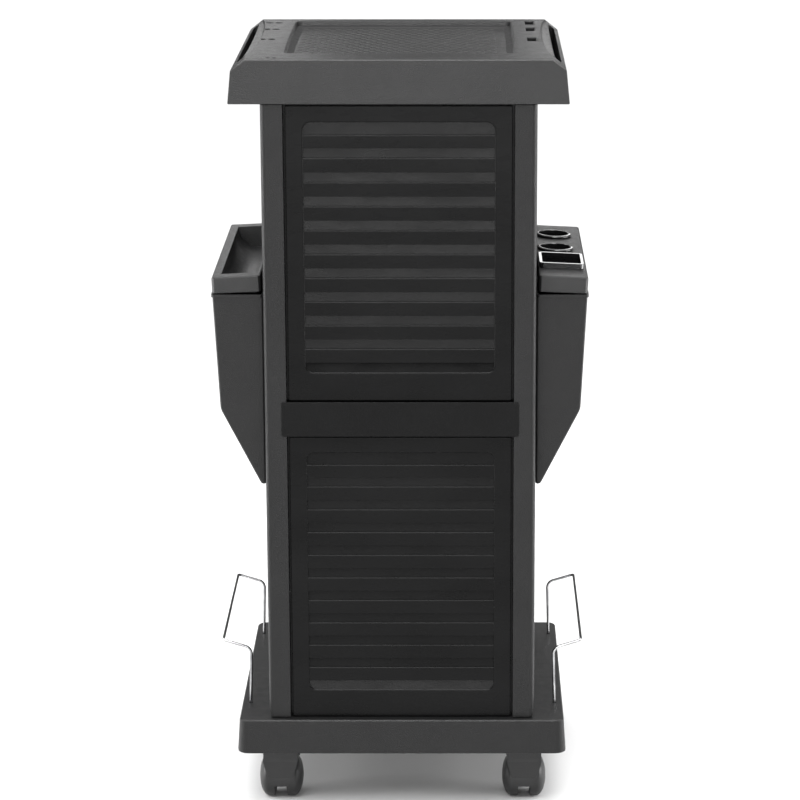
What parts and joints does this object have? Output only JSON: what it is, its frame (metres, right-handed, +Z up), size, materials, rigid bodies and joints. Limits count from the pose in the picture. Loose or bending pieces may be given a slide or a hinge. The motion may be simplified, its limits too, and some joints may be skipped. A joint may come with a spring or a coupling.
{
  "type": "spa trolley cart",
  "caption": "Tall salon trolley on twin-wheel casters: louvred on one side, drawers on the other, side bins with lift-off trays, chrome wire racks.",
  "frame": {"origin": "on the floor, under the middle of the trolley", "axes": "+Z up; -Y faces the closed, louvred side; the drawers open towards +Y; +X is the side of the holder tray"},
  "size_m": [0.4258, 0.3592, 0.88],
  "materials": {
    "black_plastic": "fine matte grain",
    "louvre_plastic": "smooth satin",
    "drawer_plastic": "satin",
    "caster_plastic": "satin",
    "wheel_plastic": "satin nylon",
    "gloss_plastic": "gloss",
    "zinc_steel": "zinc plated",
    "chrome": "polished"
  },
  "bodies": {
    "trolley": {"base_tray": "black_plastic", "side_panel_left": "black_plastic", "side_panel_right": "black_plastic", "louvre_panel_lower": "louvre_plastic", "louvre_panel_upper": "louvre_plastic", "crossbar_closed_side": "black_plastic", "crossbar_drawer_side": "black_plastic", "middle_shelf": "black_plastic", "shelf_screw_1": "zinc_steel", "shelf_screw_2": "zinc_steel", "shelf_screw_3": "zinc_steel", "shelf_screw_4": "zinc_steel", "top_deck": "black_plastic", "top_fascia_front": "black_plastic", "top_fascia_rear": "black_plastic", "wire_rack_left": "chrome", "wire_rack_right": "chrome"},
    "caster_front_left": {"caster_front_left_stem": "zinc_steel", "caster_front_left_hood": "caster_plastic", "caster_front_left_axle": "zinc_steel"},
    "caster_front_right": {"caster_front_right_stem": "zinc_steel", "caster_front_right_hood": "caster_plastic", "caster_front_right_axle": "zinc_steel"},
    "caster_rear_left": {"caster_rear_left_stem": "zinc_steel", "caster_rear_left_hood": "caster_plastic", "caster_rear_left_axle": "zinc_steel"},
    "caster_rear_right": {"caster_rear_right_stem": "zinc_steel", "caster_rear_right_hood": "caster_plastic", "caster_rear_right_axle": "zinc_steel"},
    "front_left_wheel_a": {"caster_front_left_wheel_a": "wheel_plastic"},
    "front_left_wheel_b": {"caster_front_left_wheel_b": "wheel_plastic"},
    "front_right_wheel_a": {"caster_front_right_wheel_a": "wheel_plastic"},
    "front_right_wheel_b": {"caster_front_right_wheel_b": "wheel_plastic"},
    "rear_left_wheel_a": {"caster_rear_left_wheel_a": "wheel_plastic"},
    "rear_left_wheel_b": {"caster_rear_left_wheel_b": "wheel_plastic"},
    "rear_right_wheel_a": {"caster_rear_right_wheel_a": "wheel_plastic"},
    "rear_right_wheel_b": {"caster_rear_right_wheel_b": "wheel_plastic"},
    "deep_drawer_1": {"deep_drawer_1": "drawer_plastic"},
    "deep_drawer_2": {"deep_drawer_2": "drawer_plastic"},
    "shallow_drawer_1": {"shallow_drawer_1": "drawer_plastic"},
    "shallow_drawer_2": {"shallow_drawer_2": "drawer_plastic"},
    "shallow_drawer_3": {"shallow_drawer_3": "drawer_plastic"},
    "shallow_drawer_4": {"shallow_drawer_4": "drawer_plastic"},
    "bin_left": {"hopper_bin_left": "black_plastic"},
    "bin_right": {"hopper_bin_right": "black_plastic"},
    "tray_left": {"trough_tray_left": "black_plastic"},
    "tray_right": {"holder_tray_right": "black_plastic", "round_cup_1": "gloss_plastic", "round_cup_2": "gloss_plastic", "square_cup": "gloss_plastic"}
  },
  "joints": [
    {"name": "front_left_swivel", "type": "hinge", "parent": "trolley", "child": "caster_front_left", "pos_m": [-0.143, -0.14, 0.06], "axis": [0, 0, 1], "continuous": true},
    {"name": "front_right_swivel", "type": "hinge", "parent": "trolley", "child": "caster_front_right", "pos_m": [0.143, -0.14, 0.06], "axis": [0, 0, 1], "continuous": true},
    {"name": "rear_left_swivel", "type": "hinge", "parent": "trolley", "child": "caster_rear_left", "pos_m": [-0.143, 0.14, 0.06], "axis": [0, 0, 1], "continuous": true},
    {"name": "rear_right_swivel", "type": "hinge", "parent": "trolley", "child": "caster_rear_right", "pos_m": [0.143, 0.14, 0.06], "axis": [0, 0, 1], "continuous": true},
    {"name": "front_left_spin_a", "type": "hinge", "parent": "caster_front_left", "child": "front_left_wheel_a", "pos_m": [-0.143, -0.123, 0.025], "axis": [1, 0, 0], "continuous": true},
    {"name": "front_left_spin_b", "type": "hinge", "parent": "caster_front_left", "child": "front_left_wheel_b", "pos_m": [-0.143, -0.123, 0.025], "axis": [1, 0, 0], "continuous": true},
    {"name": "front_right_spin_a", "type": "hinge", "parent": "caster_front_right", "child": "front_right_wheel_a", "pos_m": [0.143, -0.123, 0.025], "axis": [1, 0, 0], "continuous": true},
    {"name": "front_right_spin_b", "type": "hinge", "parent": "caster_front_right", "child": "front_right_wheel_b", "pos_m": [0.143, -0.123, 0.025], "axis": [1, 0, 0], "continuous": true},
    {"name": "rear_left_spin_a", "type": "hinge", "parent": "caster_rear_left", "child": "rear_left_wheel_a", "pos_m": [-0.143, 0.123, 0.025], "axis": [1, 0, 0], "continuous": true},
    {"name": "rear_left_spin_b", "type": "hinge", "parent": "caster_rear_left", "child": "rear_left_wheel_b", "pos_m": [-0.143, 0.123, 0.025], "axis": [1, 0, 0], "continuous": true},
    {"name": "rear_right_spin_a", "type": "hinge", "parent": "caster_rear_right", "child": "rear_right_wheel_a", "pos_m": [0.143, 0.123, 0.025], "axis": [1, 0, 0], "continuous": true},
    {"name": "rear_right_spin_b", "type": "hinge", "parent": "caster_rear_right", "child": "rear_right_wheel_b", "pos_m": [0.143, 0.123, 0.025], "axis": [1, 0, 0], "continuous": true},
    {"name": "deep_drawer_1_slide", "type": "slide", "parent": "trolley", "child": "deep_drawer_1", "axis": [0, 1, 0], "range_m": [0, 0.24]},
    {"name": "deep_drawer_2_slide", "type": "slide", "parent": "trolley", "child": "deep_drawer_2", "axis": [0, 1, 0], "range_m": [0, 0.24]},
    {"name": "shallow_drawer_1_slide", "type": "slide", "parent": "trolley", "child": "shallow_drawer_1", "axis": [0, 1, 0], "range_m": [0, 0.24]},
    {"name": "shallow_drawer_2_slide", "type": "slide", "parent": "trolley", "child": "shallow_drawer_2", "axis": [0, 1, 0], "range_m": [0, 0.24]},
    {"name": "shallow_drawer_3_slide", "type": "slide", "parent": "trolley", "child": "shallow_drawer_3", "axis": [0, 1, 0], "range_m": [0, 0.24]},
    {"name": "shallow_drawer_4_slide", "type": "slide", "parent": "trolley", "child": "shallow_drawer_4", "axis": [0, 1, 0], "range_m": [0, 0.24]},
    {"name": "bin_left_lift", "type": "slide", "parent": "trolley", "child": "bin_left", "axis": [0, 0, 1], "range_m": [0, 0.012]},
    {"name": "bin_right_lift", "type": "slide", "parent": "trolley", "child": "bin_right", "axis": [0, 0, 1], "range_m": [0, 0.012]},
    {"name": "tray_left_lift", "type": "slide", "parent": "bin_left", "child": "tray_left", "axis": [0, 0, 1], "range_m": [0, 0.03]},
    {"name": "tray_right_lift", "type": "slide", "parent": "bin_right", "child": "tray_right", "axis": [0, 0, 1], "range_m": [0, 0.03]}
  ]
}
